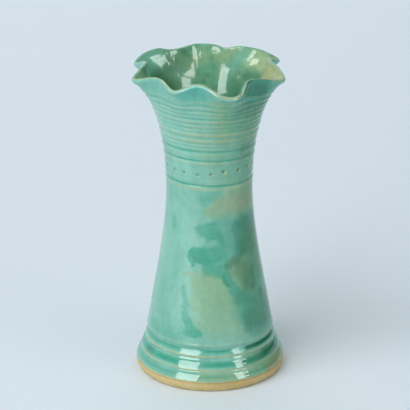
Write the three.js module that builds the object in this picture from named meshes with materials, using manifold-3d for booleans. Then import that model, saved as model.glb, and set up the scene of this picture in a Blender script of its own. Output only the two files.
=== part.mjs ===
// Wheel-thrown pottery vase with a stepped foot, a waisted body and a ruffled lip.
// Millimetres, +Z up, origin on the floor under the vase's axis, the photographed front faces -Y.
// It is one fired clay body with a glaze coat fused on outside and another inside.
import * as THREE from "three";
import { mergeVertices } from "three/addons/utils/BufferGeometryUtils.js";
import Module from "manifold-3d";

// Foot: a bare band, then rounded shoulders that step in towards the body
const FOOT_RADIUS = 65.2;
const FOOT_ROUNDING_WIDTH = 4.6;
const FOOT_ROUNDING_HEIGHT = 7.2;
const BARE_BAND_HEIGHT = 9.1;
const LOWER_SHOULDER_WIDTH = 4.6;
const LOWER_SHOULDER_HEIGHT = 9.1;
const MIDDLE_SHOULDER_WIDTH = 4.3;
const MIDDLE_SHOULDER_HEIGHT = 11.2;
const TOP_ROLL_WIDTH = 2.1;
const TOP_ROLL_HEIGHT = 4.2;
const BODY_EDGE_WIDTH = 1.2;
const BODY_EDGE_HEIGHT = 4.7;
const STEP_NOTCH = 0.5;

// Body and flare
const BODY_HEIGHT = 131.5;
const WAIST_RADIUS = 37.3;
const FLARE_HEIGHT = 101;
const LIP_RADIUS = 61.5;
const BODY_SLOPE = 0.17;
const LIP_SLOPE = 0.55;
// How far each end of the two curves keeps its slope, as a share of the curve's height
const BODY_EDGE_HOLD = 0.42;
const WAIST_HOLD_BELOW = 0.3;
const WAIST_HOLD_ABOVE = 0.4;
const LIP_HOLD = 0.3;

// Decoration on the neck
const BAND_ABOVE_WAIST = 9.9;
const BAND_HEIGHT = 22.5;
const BAND_GROOVE_DEPTH = 0.8;
const BAND_GROOVE_WIDTH = 4.6;
const BAND_RIDGE = 0.4;
const DOT_COUNT = 20;
const DOT_TURN = 2.5;
const DOT_DIAMETER = 2.6;
const DOT_DEPTH = 0.4;
const RINGS_ABOVE_BAND = 9.1;
const RING_PITCH = 4.35;
const RING_RELIEF = 0.3;
const RINGS_BELOW_LIP = 12;

// Walls and coats
const WALL_THICKNESS = 6.2;
const LIP_THICKNESS = 4;
const LIP_CROWN = 1.3;
const FLOOR_THICKNESS = 9;
const FLOOR_FILLET = 10;
const GLAZE_THICKNESS = 0.6;
const GLAZE_CLEARANCE = 0.3;

// Ruffle: the lip is pushed in and out by hand, and the wall below it follows more and more weakly.
// Each point of the lip is an angle, how far out it reaches past LIP_RADIUS and how far it rises over the mean lip.
const RUFFLE_HEIGHT = 40;
const LIP_POINTS = [
  { angle: 2, reach: -1, rise: -1.5 },
  { angle: 20, reach: -5.5, rise: 1.5 },
  { angle: 30, reach: 7.8, rise: -4.2 },
  { angle: 50, reach: 8, rise: 0.2 },
  { angle: 76, reach: -1.7, rise: 1.2 },
  { angle: 100, reach: 4.5, rise: 2 },
  { angle: 123, reach: -3, rise: 3 },
  { angle: 132, reach: 2.3, rise: 2.6 },
  { angle: 146, reach: 7, rise: 0.8 },
  { angle: 160, reach: 8, rise: -3 },
  { angle: 171, reach: -5, rise: 2.6 },
  { angle: 195, reach: 4.5, rise: -4.7 },
  { angle: 219, reach: -6.9, rise: 2 },
  { angle: 241, reach: -2, rise: -3.8 },
  { angle: 262, reach: -5, rise: 4 },
  { angle: 289, reach: 4, rise: -6.4 },
  { angle: 310, reach: -9, rise: 4 },
  { angle: 346, reach: 4.7, rise: -5.4 },
];

// Heights and radii that follow from the driving sizes
const COLUMNS = 56;
const middleShoulderBottom = BARE_BAND_HEIGHT + LOWER_SHOULDER_HEIGHT;
const topRollBottom = middleShoulderBottom + MIDDLE_SHOULDER_HEIGHT;
const footGrooveHeight = topRollBottom + TOP_ROLL_HEIGHT;
const bodyEdgeHeight = footGrooveHeight + BODY_EDGE_HEIGHT;
const waistHeight = bodyEdgeHeight + BODY_HEIGHT;
const lipHeight = waistHeight + FLARE_HEIGHT;
const middleShoulderRadius = FOOT_RADIUS - LOWER_SHOULDER_WIDTH;
const topRollRadius = middleShoulderRadius - MIDDLE_SHOULDER_WIDTH;
const footGrooveRadius = topRollRadius - TOP_ROLL_WIDTH;
const bodyEdgeRadius = footGrooveRadius + BODY_EDGE_WIDTH;
const bandBottom = waistHeight + BAND_ABOVE_WAIST;
const bandTop = bandBottom + BAND_HEIGHT;
const dotHeight = bandBottom + BAND_HEIGHT / 2;
const firstRing = bandTop + RINGS_ABOVE_BAND;
const claySeat = GLAZE_THICKNESS + GLAZE_CLEARANCE;

// The wall's smooth outer line: one curve from the body edge in to the waist, one from the waist out to the lip
const bodyHold = BODY_HEIGHT * BODY_EDGE_HOLD;
const lipHold = FLARE_HEIGHT * LIP_HOLD;
const bodyCurve = new THREE.CubicBezierCurve(
  new THREE.Vector2(bodyEdgeRadius, bodyEdgeHeight),
  new THREE.Vector2(bodyEdgeRadius - BODY_SLOPE * bodyHold, bodyEdgeHeight + bodyHold),
  new THREE.Vector2(WAIST_RADIUS, waistHeight - BODY_HEIGHT * WAIST_HOLD_BELOW),
  new THREE.Vector2(WAIST_RADIUS, waistHeight),
);
const flareCurve = new THREE.CubicBezierCurve(
  new THREE.Vector2(WAIST_RADIUS, waistHeight),
  new THREE.Vector2(WAIST_RADIUS, waistHeight + FLARE_HEIGHT * WAIST_HOLD_ABOVE),
  new THREE.Vector2(LIP_RADIUS - LIP_SLOPE * lipHold, lipHeight - lipHold),
  new THREE.Vector2(LIP_RADIUS, lipHeight),
);

// Radius of the smooth outer line at a height, by halving the stretch of curve that holds it.
function wallRadius(height) {
  const curve = height < waistHeight ? bodyCurve : flareCurve;
  let low = 0;
  let high = 1;
  for (let step = 0; step < 40; step++) {
    const middle = (low + high) / 2;
    if (curve.getPoint(middle).y < height) {
      low = middle;
    } else {
      high = middle;
    }
  }
  return curve.getPoint((low + high) / 2).x;
}

// Full wall from glaze face to glaze face: even up to the waist, then thinner towards the lip.
function wallThickness(height) {
  const share = THREE.MathUtils.clamp((height - waistHeight) / FLARE_HEIGHT, 0, 1);
  return THREE.MathUtils.lerp(WALL_THICKNESS, LIP_THICKNESS, share);
}

// Share of the lip's ruffle that reaches down to a height.
function ruffleShare(height) {
  const share = THREE.MathUtils.clamp((height - lipHeight + RUFFLE_HEIGHT) / RUFFLE_HEIGHT, 0, 1);
  return share * share;
}

// Columns round the vase, evenly spaced along the ruffled lip: each has its angle and the lip's shift there.
function lipPoint({ angle, reach, rise }) {
  const turn = THREE.MathUtils.degToRad(angle);
  const radius = LIP_RADIUS + reach;
  return new THREE.Vector3(radius * Math.cos(turn), radius * Math.sin(turn), lipHeight + rise);
}

const lipCurve = new THREE.CatmullRomCurve3(LIP_POINTS.map(lipPoint), true, "centripetal");
const columns = lipCurve.getSpacedPoints(COLUMNS).slice(0, COLUMNS).map((point) => {
  const angle = Math.atan2(point.y, point.x);
  const evenLip = new THREE.Vector3(LIP_RADIUS * Math.cos(angle), LIP_RADIUS * Math.sin(angle), lipHeight);
  return { angle, shift: point.sub(evenLip) };
});

function wallRow({ radius, height }) {
  return columns.map(({ angle, shift }) =>
    new THREE.Vector3(radius * Math.cos(angle), radius * Math.sin(angle), height).addScaledVector(
      shift,
      ruffleShare(height),
    ),
  );
}

// Outward normals of a stack of rows, from each point's neighbours.
function rowNormals(rows) {
  return rows.map((row, level) =>
    row.map((point, column) => {
      const above = rows[Math.min(level + 1, rows.length - 1)][column];
      const below = rows[Math.max(level - 1, 0)][column];
      const next = row[(column + 1) % COLUMNS];
      const previous = row[(column + COLUMNS - 1) % COLUMNS];
      const around = new THREE.Vector3().subVectors(next, previous);
      return around.cross(new THREE.Vector3().subVectors(above, below)).normalize();
    }),
  );
}

// The same rows sunk below the outer face, by a depth for each station.
function sunkRows(stations, depthOf) {
  const rows = stations.map(wallRow);
  const normals = rowNormals(rows);
  return rows.map((row, level) => {
    const depth = depthOf(stations[level]);
    return row.map((point, column) => point.clone().addScaledVector(normals[level][column], -depth));
  });
}

// A quarter-round shoulder, from its widest point below to where it meets the step above.
function shoulder(radius, height, width, rise, pieces) {
  const stations = [];
  for (let piece = 0; piece <= pieces; piece++) {
    const turn = (Math.PI / 2) * (piece / pieces);
    stations.push({
      radius: radius - width * (1 - Math.cos(turn)),
      height: height + rise * Math.sin(turn),
      seat: piece === 0 || 2 * piece === pieces || piece === pieces,
    });
  }
  return stations;
}

function footStations() {
  const lower = shoulder(FOOT_RADIUS, BARE_BAND_HEIGHT, LOWER_SHOULDER_WIDTH + STEP_NOTCH, LOWER_SHOULDER_HEIGHT, 4);
  const middle = shoulder(
    middleShoulderRadius,
    middleShoulderBottom + STEP_NOTCH,
    MIDDLE_SHOULDER_WIDTH + STEP_NOTCH,
    MIDDLE_SHOULDER_HEIGHT - STEP_NOTCH,
    4,
  );
  const roll = shoulder(topRollRadius, topRollBottom + STEP_NOTCH, TOP_ROLL_WIDTH, TOP_ROLL_HEIGHT - STEP_NOTCH, 2);
  return [...lower, ...middle, ...roll];
}

function bodyStations() {
  const shares = [0, 0.17, 0.36, 0.56, 0.78, 1];
  return shares.map((share) => {
    const height = bodyEdgeHeight + share * BODY_HEIGHT;
    return { radius: wallRadius(height), height, seat: true };
  });
}

// A groove turned in the wall over the ridge that its tool pushed up.
function grooveStations(height) {
  const half = BAND_GROOVE_WIDTH / 2;
  return [
    { radius: wallRadius(height - half) + BAND_RIDGE, height: height - half, seat: true },
    { radius: wallRadius(height) - BAND_GROOVE_DEPTH, height, seat: true },
    { radius: wallRadius(height + half), height: height + half, seat: true },
  ];
}

// Throwing rings: a groove and a crest in turn, as relief on the smooth wall.
function ringStations() {
  const stations = [];
  const count = Math.floor((lipHeight - RINGS_BELOW_LIP - firstRing) / RING_PITCH) + 1;
  for (let ring = 0; ring < count; ring++) {
    const groove = firstRing + ring * RING_PITCH;
    const crest = groove + RING_PITCH / 2;
    stations.push({ radius: wallRadius(groove), height: groove, relief: -RING_RELIEF, seat: false });
    stations.push({ radius: wallRadius(crest), height: crest, relief: RING_RELIEF, seat: ring % 2 === 0 });
  }
  return stations;
}

const outerStations = [
  ...footStations(),
  ...bodyStations(),
  ...grooveStations(bandBottom),
  { radius: wallRadius(dotHeight), height: dotHeight, seat: true },
  ...grooveStations(bandTop),
  ...ringStations(),
  ...[0.5, 0].map((share) => {
    const height = lipHeight - share * RINGS_BELOW_LIP;
    return { radius: wallRadius(height), height, seat: true };
  }),
];
const seatStations = outerStations.filter((station) => station.seat);

const innerStations = [
  ...[0.05, 0.35, 0.65, 0.95].map((share) => bodyEdgeHeight + share * BODY_HEIGHT),
  ...[0.3, 0.5, 0.65, 0.78, 0.9, 1].map((share) => waistHeight + share * FLARE_HEIGHT),
].map((height) => ({ radius: wallRadius(height), height }));

// Inside of the floor, sunk below the inner face by a depth: rows from the middle out and up to the wall.
function floorRows(depth) {
  const innerRadius = wallRadius(innerStations[0].height) - WALL_THICKNESS;
  const rows = [];
  for (const turn of [0, 30, 60, 90].map(THREE.MathUtils.degToRad)) {
    const reach = FLOOR_FILLET + depth;
    rows.push(
      wallRow({
        radius: innerRadius - FLOOR_FILLET + reach * Math.sin(turn),
        height: FLOOR_THICKNESS + FLOOR_FILLET - reach * Math.cos(turn),
      }),
    );
  }
  return rows;
}

function innerRows(depth) {
  const wall = sunkRows(innerStations, ({ height }) => wallThickness(height) - depth);
  return [...floorRows(depth), ...wall];
}

// Joins rows that climb one face of a wall and come down its other face into one closed surface:
// between two poles where they are given, or else round on itself.
// Both faces split their squares along the same slant, so that neighbours keep their clearance.
function closedGeometry(climb, descent, startPole, endPole) {
  const rows = [...climb, ...descent];
  const positions = [];
  const index = [];
  rows.flat().forEach((point) => positions.push(point.x, point.y, point.z));
  const at = (level, column) => (level % rows.length) * COLUMNS + (column % COLUMNS);
  const levels = startPole ? rows.length - 1 : rows.length;
  for (let level = 0; level < levels; level++) {
    for (let column = 0; column < COLUMNS; column++) {
      const a = at(level, column);
      const b = at(level, column + 1);
      const c = at(level + 1, column + 1);
      const d = at(level + 1, column);
      if (level < climb.length) {
        index.push(a, b, c, a, c, d);
      } else {
        index.push(a, b, d, b, c, d);
      }
    }
  }
  if (startPole) {
    const start = rows.length * COLUMNS;
    const last = rows.length - 1;
    positions.push(startPole.x, startPole.y, startPole.z, endPole.x, endPole.y, endPole.z);
    for (let column = 0; column < COLUMNS; column++) {
      index.push(start, at(0, column + 1), at(0, column));
      index.push(at(last, column), at(last, column + 1), start + 1);
    }
  }
  const geometry = new THREE.BufferGeometry();
  geometry.setAttribute("position", new THREE.Float32BufferAttribute(positions, 3));
  geometry.setIndex(index);
  return geometry;
}

// Clay: flat underside, bare band, the outside below its glaze, a rounded crown on the lip, and the inside
function clayGeometry() {
  const bareBand = [-90, -60, -30, 0].map((turn) => {
    const angle = THREE.MathUtils.degToRad(turn);
    return wallRow({
      radius: FOOT_RADIUS - FOOT_ROUNDING_WIDTH * (1 - Math.cos(angle)),
      height: FOOT_ROUNDING_HEIGHT * (1 + Math.sin(angle)),
    });
  });
  const ledgeHeight = BARE_BAND_HEIGHT - GLAZE_CLEARANCE;
  const ledge = [FOOT_RADIUS, FOOT_RADIUS - claySeat].map((radius) => wallRow({ radius, height: ledgeHeight }));
  const outside = sunkRows(seatStations, () => claySeat);
  const inside = innerRows(claySeat).reverse();
  const floorHeight = FLOOR_THICKNESS - claySeat;
  return closedGeometry(
    [...bareBand, ...ledge, ...outside, ...lipCrown(outside)],
    inside,
    new THREE.Vector3(0, 0, 0),
    new THREE.Vector3(0, 0, floorHeight),
  );
}

// The crown carries the lip's line on past the two coats, across what is left of the wall between them.
function lipCrown(outside) {
  const edge = outside[outside.length - 1];
  const below = outside[outside.length - 2];
  const far = innerRows(claySeat).pop();
  return [45, 90, 135].map((turn) => {
    const angle = THREE.MathUtils.degToRad(turn);
    const across = (1 - Math.cos(angle)) / 2;
    return edge.map((point, column) => {
      const up = new THREE.Vector3().subVectors(point, below[column]).normalize();
      return point.clone().lerp(far[column], across).addScaledVector(up, LIP_CROWN * Math.sin(angle));
    });
  });
}

// Outer glaze: its face carries the throwing rings, its back follows the clay
function outerGlazeGeometry() {
  const face = sunkRows(outerStations, ({ relief = 0 }) => -relief);
  const back = sunkRows(seatStations, () => GLAZE_THICKNESS).reverse();
  return cutDots(closedGeometry(face, back));
}

// Inner glaze: the liner coat over the floor and up to the lip
function innerGlazeGeometry() {
  const back = innerRows(GLAZE_THICKNESS);
  const face = innerRows(0).reverse();
  return closedGeometry(
    back,
    face,
    new THREE.Vector3(0, 0, FLOOR_THICKNESS - GLAZE_THICKNESS),
    new THREE.Vector3(0, 0, FLOOR_THICKNESS),
  );
}

// Dots pressed in along the middle of the band, the first of them DOT_TURN degrees round from +X
const wasm = await Module();
wasm.setup();

function solidOf(geometry) {
  const bare = new THREE.BufferGeometry();
  bare.setAttribute("position", geometry.getAttribute("position"));
  bare.setIndex(geometry.getIndex());
  const merged = mergeVertices(bare);
  return new wasm.Manifold(
    new wasm.Mesh({
      numProp: 3,
      vertProperties: new Float32Array(merged.getAttribute("position").array),
      triVerts: new Uint32Array(merged.getIndex().array),
    }),
  );
}

function cutDots(geometry) {
  const face = wallRadius(dotHeight);
  let solid = solidOf(geometry);
  for (let dot = 0; dot < DOT_COUNT; dot++) {
    const angle = (2 * Math.PI * dot) / DOT_COUNT + THREE.MathUtils.degToRad(DOT_TURN);
    const punch = new THREE.CylinderGeometry(DOT_DIAMETER, DOT_DIAMETER / 4, 3 * DOT_DEPTH, 8);
    punch.translate(0, DOT_DEPTH / 2, 0);
    punch.rotateZ(-Math.PI / 2);
    punch.translate(face, 0, dotHeight);
    punch.rotateZ(angle);
    solid = solid.subtract(solidOf(punch));
  }
  const mesh = solid.getMesh();
  const cut = new THREE.BufferGeometry();
  cut.setAttribute("position", new THREE.BufferAttribute(mesh.vertProperties, 3));
  cut.setIndex(new THREE.BufferAttribute(mesh.triVerts, 1));
  return cut;
}

function piece(name, geometry, color, roughness) {
  geometry.computeVertexNormals();
  const material = new THREE.MeshStandardMaterial({ color, roughness, metalness: 0 });
  const mesh = new THREE.Mesh(geometry, material);
  mesh.name = name;
  return mesh;
}

const vase = new THREE.Group();
vase.add(piece("stoneware_body", clayGeometry(), 0xc8b482, 0.85));
vase.add(piece("outer_glaze", outerGlazeGeometry(), 0x82c3af, 0.12));
vase.add(piece("inner_glaze", innerGlazeGeometry(), 0x55916a, 0.12));

export default vase;
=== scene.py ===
"""Wheel-thrown pottery vase with a ruffled lip: the finished look of its clay and its two coats of glaze."""
import contextlib
import math

import bpy
import numpy as np
from mathutils import Euler, Matrix, Vector


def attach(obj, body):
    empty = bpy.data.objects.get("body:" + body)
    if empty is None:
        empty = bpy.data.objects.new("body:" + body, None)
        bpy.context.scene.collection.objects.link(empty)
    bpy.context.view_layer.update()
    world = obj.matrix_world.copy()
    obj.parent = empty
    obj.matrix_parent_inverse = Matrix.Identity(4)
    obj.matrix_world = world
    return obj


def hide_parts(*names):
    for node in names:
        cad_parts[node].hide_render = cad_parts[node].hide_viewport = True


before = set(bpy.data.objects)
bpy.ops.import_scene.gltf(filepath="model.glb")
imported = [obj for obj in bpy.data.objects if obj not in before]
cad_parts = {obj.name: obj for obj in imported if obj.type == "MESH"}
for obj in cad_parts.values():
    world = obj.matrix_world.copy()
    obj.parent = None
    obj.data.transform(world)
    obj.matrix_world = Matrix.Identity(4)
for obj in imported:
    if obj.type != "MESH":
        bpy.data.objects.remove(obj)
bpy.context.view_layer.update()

bl_info = {
    "name": "Ruffled pottery vase",
    "version": (1, 0, 0),
    "blender": (4, 5, 0),
    "location": "3D View > Sidebar > Vase",
    "description": "Throws, ruffles and glazes a pottery vase, and sets it on a studio floor",
    "category": "Object",
}

MM = 0.001

# Columns of faces round the vase.
COLUMNS = 280

BODY = "root"

# The foot's glazed outline from the bare band up to the body, as radius and height in millimetres:
# a lower shoulder, a middle shoulder, a thin roll and a shallow groove.
FOOT_LINE = (
    (64.95, 9.1), (65.05, 9.5), (64.8, 10.5), (64.2, 12.3), (63.35, 14.1), (62.3, 15.8), (61, 17.3),
    (60.6, 17.9), (60.9, 18.7), (60.6, 19.7), (60.15, 21.2), (59.55, 22.8), (58.9, 24.3), (58.1, 25.7),
    (57.2, 26.7), (56.25, 27.6), (56.35, 28.3), (56.6, 29.1), (56.75, 30.2), (56.5, 31.2), (56.05, 32.3),
    (55.4, 33.5), (54.7, 34.5), (54.4, 35.6), (54.7, 37), (55.3, 38.2), (55.5, 39.2), (55.2, 40.4),
)

# Heights on the neck where a turned mark crests (+) or sinks (-), and by how much, in millimetres.
NECK_MARKS = (
    (173, 0), (177.6, 0.25), (180.2, -0.2), (182, 0), (183.8, 0.15), (186.2, -0.1), (188, 0), (196, 0),
    (200.1, 0.25), (202.7, -0.2), (204.6, 0.1), (207.5, 0.3), (211.4, -0.5), (213.5, 0.2), (215.2, -0.2),
    (216.8, 0.3), (218.5, -0.2), (220.9, 0.4), (224, -0.35), (227.2, 0.4), (229.6, -0.25), (231.2, 0.15),
    (233.3, -0.35), (235.3, 0.25), (237.4, -0.35), (239.8, 0.4), (242.4, -0.4), (244.3, 0.25), (246, -0.25),
    (247.9, 0.3), (250.2, -0.4), (252.6, 0.35), (255.2, -0.3), (258.2, 0.25), (261.5, 0),
)

# Heights where the glaze breaks thin (-1) or pools (+1), in millimetres.
GLAZE_POOLS = (
    (8.9, -1), (9.9, -0.7), (11.4, 0.2), (14, 0.55), (16.2, 0.3), (17.4, -0.4), (18.8, -0.9), (19.8, -0.3),
    (21.4, 0.65), (23.6, 0.85), (25.6, 0.65), (27.2, 0.1), (28.4, -0.2), (29.3, -0.7), (30.1, -1),
    (31, -0.3), (32.6, 0.5), (34.6, 0.8), (36.4, 0.2), (38.8, -0.25), (40.2, -0.5), (41.8, -0.1), (44.5, 0),
    (172, 0), (177.4, -0.65), (179.8, 0.95), (181.6, 0.1), (183.8, -0.35), (186.2, 0.3), (188, 0), (196, 0),
    (198.4, 0.05), (200.2, -0.75), (202.5, 0.85), (204.6, 0.2), (207.5, -0.45), (211.3, 0.75), (213.5, -0.4),
    (215.2, 0.45), (216.8, -0.55), (218.5, 0.5), (220.8, -0.75), (224, 0.4), (227.2, -0.8), (229.6, 0.4),
    (231.2, -0.55), (233.3, 0.5), (235.3, -0.55), (237.4, 0.5), (239.8, -0.7), (242.4, 0.6), (244.3, -0.55),
    (246, 0.4), (247.9, -0.6), (250.2, 0.6), (252.6, -0.6), (255.2, 0.5), (258.2, -0.5), (261.5, 0.2),
    (266, 0.25), (269.5, 0),
)

# The lip: an angle, and in millimetres how far it reaches past the lip's radius and rises over its height.
LIP_POINTS = (
    (2, -1, -1.5), (20, -5.5, 1.5), (30, 7.8, -4.4), (40, 8, -2.6), (50, 7, -0.6), (65, 1.6, 1.5),
    (76, -0.8, -0.3), (86, 0.4, 2.35), (100, 3.6, 2), (123, -3, 1.4), (132, 2.1, 2.7), (146, 6.8, 0.8),
    (159, 7, -3), (171, -5, 2.6), (196, 4.4, -4.6), (219, -6.9, 1.6), (241, -2, -4.2), (262, -4.6, 3),
    (278, 2.2, -5), (287, 4.6, -7.3), (296, 1.6, -5.6), (308, -8.2, 2), (345, 3, -6),
)

# How far the lip curls out over the last of the wall: an angle and millimetres.
LIP_CURL = (
    (0, 0.3), (30, 1), (60, 0.6), (80, 0.8), (95, -0.4), (110, 0.4), (130, 1.6), (150, 0.2), (165, 0.2),
    (185, 0.8), (215, 1.6), (240, 1.4), (262, 1.8), (285, 0.8), (310, 1.9), (335, 1.4),
)

# Hollows the thumb left inside, under the lip: degrees round from +X, half the width in degrees, and depth,
# height and half the height in millimetres.
THUMB_HOLLOWS = ((79, 20, 1.3, 253, 37), (124, 12, 0.7, 243, 24))

# Pressed dots: how many, degrees from +X to the first and height in millimetres. By hand they stray a little:
# degrees round and millimetres up from their even places.
DOT_COUNT = 20
DOT_TURN = 2.5
DOT_HEIGHT = 190.6
DOT_STRAYS = (
    (0.9, 0.6), (-0.7, 0.2), (0.4, -0.5), (1.2, 0.3), (-0.5, -0.2), (-1.1, 0.5), (0.6, 0.1), (0.2, -0.6),
    (-0.9, 0), (0.8, 0.4), (-0.3, -0.3), (-0.3, -0.4), (0.3, 0.1), (-0.8, -0.2), (-0.1, -1), (-1.2, 0),
    (-3, 1.6), (0.9, 1.3), (1, 1.5), (0.5, 0.8),
)

# Strokes where the glaze lies thicker or thinner than elsewhere, and one pale stroke that is a painted
# reflection.
# Each runs from one place on the wall to another: degrees round from the front and height, twice, then half
# its width, its strength, and how far its edge softens as a share of half its width. Heights and widths are
# in millimetres.
BRUSHED = {
    "teal": (
        (-17, 141, -6, 141, 2.4, 0.75, 0.4), (-8, 140, 10, 142, 6, 0.7, 0.3),
        (0, 136, 16, 137, 6.5, 0.75, 0.4), (20, 143, 28, 120, 10, 0.45, 0.9),
        (-17, 119, -2, 118, 7.4, 1.1, 0.16), (-20, 122, -21, 117, 3.6, 0.8, 0.3),
        (0, 119, 18, 119, 8.5, 0.75, 0.5), (-22, 114, -19, 109.5, 2.8, 0.95, 0.35),
        (0, 107, 17, 105, 5.5, 0.7, 0.5), (8, 105, 18, 99, 4.2, 0.9, 0.35), (18, 99, 26, 88, 4.2, 1, 0.35),
        (26, 88, 34, 77, 5, 0.8, 0.4), (33, 77, 52, 72, 8, 0.9, 0.6), (-29, 88, -25, 76, 1.6, 0.45, 0.9),
        (-25, 76, -24, 62, 2.6, 0.55, 0.7), (-22, 60, -18, 53, 3.4, 0.75, 0.4),
        (-22, 49.5, -9, 50, 2.4, 0.85, 0.35), (-18, 54, -13, 51, 3.6, 0.9, 0.35),
        (-8, 167, 11, 176, 4.5, 0.5, 0.9), (-53, 146, -51, 138, 3, 0.6, 1),
        (-58, 266, -52, 264, 7, 0.15, 0.9), (-14, 267, -8, 264, 7, 0.3, 0.9), (36, 265, 54, 262, 9, 1, 0.6),
        (-70, 46, -35, 44, 5, 0.35, 1), (46, 134.5, 80, 132.5, 14.5, 0.9, 0.45),
        (26, 131, 90, 128, 14, 0.95, 0.5), (24, 120, 90, 118, 7, 0.95, 0.5), (58, 110, 90, 100, 8, 0.8, 0.7),
        (58, 89, 90, 86, 11, 0.9, 0.7), (58, 68, 88, 66, 24, 0.8, 0.35), (60, 105, 84, 104, 11, 0.7, 0.8),
        (38, 246, 72, 240, 17, 0.75, 0.8), (-76, 180, -60, 176, 12, 0.2, 1),
        (36, 200, 80, 196, 22, 0.4, 0.9),
    ),
    "dark": (
        (42, 142, 78, 138, 8, 0.35, 0.9), (40, 125, 74, 128, 5, 0.4, 1), (22, 109, 33, 113, 3, 0.5, 1),
        (33, 113, 46, 120, 3.6, 0.55, 1), (46, 120, 74, 116, 3.4, 0.4, 1), (15, 98, 21, 90, 1.8, 0.3, 1),
        (44, 102, 50, 90, 6, 0.2, 1), (-15, 117, -8, 112, 4, 0.12, 0.9), (30, 79, 60, 72, 4, 0.2, 1),
        (53, 99, 51, 86, 3.6, 0.6, 0.9), (64, 77, 64, 71, 3.2, 0.6, 0.9), (50, 56, 80, 60, 12, 0.35, 0.8),
        (35, 49, 40, 49, 2.4, 0.35, 1), (-21, 109, -18, 108, 1.4, 0.4, 0.8), (34, 250, 60, 246, 7, 0.35, 1),
        (46, 211, 62, 212, 2.4, 0.4, 1), (48, 203, 75, 203, 1.8, 0.45, 1), (38, 266, 56, 262, 7, 0.62, 0.9),
        (36, 33.6, 80, 33.6, 1.5, 0.85, 0.8), (54, 24, 70, 24, 3, 0.85, 0.7),
        (30, 23, 80, 23, 2.6, 0.45, 0.9), (-66, 23.5, -60, 23.5, 2.6, 0.35, 1),
    ),
    "straw": (
        (-9, 93, 7, 92, 10, 0.95, 0.22), (-7, 78, 14, 77, 11.5, 0.9, 0.3), (-1, 60, 17, 60, 10.5, 0.68, 0.5),
        (-9, 68, -6, 58, 7, 0.65, 0.5), (8, 92, 21, 76, 8.5, 0.9, 0.25), (24, 72, 29, 56, 5, 0.6, 1),
        (0, 49, 30, 49, 4, 0.4, 1), (-28, 101, -12, 101, 2, 0.7, 0.8), (-9, 104, -5, 101, 4, 0.7, 0.5),
        (-1, 156, 30, 157, 5.5, 0.9, 0.6), (14, 161, 34, 164, 8, 1, 0.5), (28, 164.5, 84, 162, 11.5, 1, 0.5),
        (36, 172, 70, 174, 4, 0.8, 0.7), (25, 103, 36, 99, 8, 0.6, 0.8), (38, 104, 47, 90, 9, 0.9, 0.85),
        (50, 100, 70, 106, 6, 0.45, 0.9), (10, 258, 18, 225, 10, 0.75, 1), (-14, 222, 26, 184, 12, 0.4, 1),
        (30, 235, 70, 222, 9, 0.45, 1), (30, 182, 72, 180, 5, 0.5, 0.9), (-16, 221, 12, 220.8, 2, 0.8, 1),
        (-18, 227.4, 8, 227, 2, 0.8, 1), (-6, 13, 36, 13, 5, 0.9, 0.9), (30, 24, 56, 24, 4, 0.6, 1),
        (-12, 262, 0, 252, 4, 0.3, 1), (50, 14, 76, 18, 5, 0.9, 0.9),
    ),
    "pale": (
        # The first pale stroke, a long soft band down the left of the body, is a painted reflection of a
        # softbox.
        (-31, 150, -28, 66, 6, 0.75, 1), (-34, 101.5, -19, 103, 1.3, 0.9, 0.8),
        (-24, 136, -22, 128, 5, 0.6, 1), (-70, 130, -70, 60, 5, 0.4, 1), (-40, 258, -20, 250, 6, 0.3, 1),
        (-58, 265, -46, 260, 6, 0.6, 0.9), (-14, 236, 16, 188, 16, 1, 1), (-54, 240, -32, 205, 14, 0.8, 1),
        (-10, 250, 10, 240, 10, 0.7, 1), (-12, 21, 14, 21, 4, 0.6, 1),
    ),
    "rust": (
        (4, 266, 16, 262, 7, 0.9, 0.5), (16, 262, 26, 268, 5, 0.9, 0.5), (-50, 268, -35, 265, 3, 0.25, 0.8),
        (54, 11, 78, 14, 3.5, 0.9, 0.9),
    ),
    "tan": (
        (12, 160, 34, 163, 7, 0.6, 0.9), (30, 165, 74, 163, 9, 0.75, 0.7), (-6, 13, 36, 13, 5, 0.4, 0.9),
        (-28, 101, -14, 101.5, 2, 0.5, 1), (-6, 97, 4, 95, 5, 0.3, 1), (36, 102, 42, 92, 5, 0.25, 0.9),
    ),
    "olive": (
        (60, 64, 60, 84, 17, 0.3, 0.9), (60, 98, 60, 126, 16, 0.6, 0.9), (39, 103, 50, 88, 11, 0.68, 1),
        (50, 99, 72, 107, 7.5, 0.55, 0.8), (56, 206, 66, 242, 16, 0.45, 1), (62, 150, 70, 192, 12, 0.35, 1),
        (54, 112, 74, 112, 8, 0.6, 0.9), (62, 92, 76, 99, 9, 0.6, 0.9), (46, 20, 66, 24, 10, 0.3, 1),
        (60, 184, 70, 196, 6, 0.2, 1),
    ),
    "blue": (
        (-60, 266, -50, 262, 8, 0.25, 0.9), (-16, 266, -6, 262, 8, 0.75, 0.9), (-6, 257, 4, 256, 4, 0.4, 1),
        (34, 266, 58, 262, 9, 0.9, 0.7), (-30, 214, -18, 206, 6, 0.25, 1), (-48, 236, -34, 232, 7, 0.15, 1),
        (-20, 246, -6, 243, 4, 0.35, 1), (-14, 34, 10, 34, 2, 0.3, 1),
    ),
}

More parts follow.
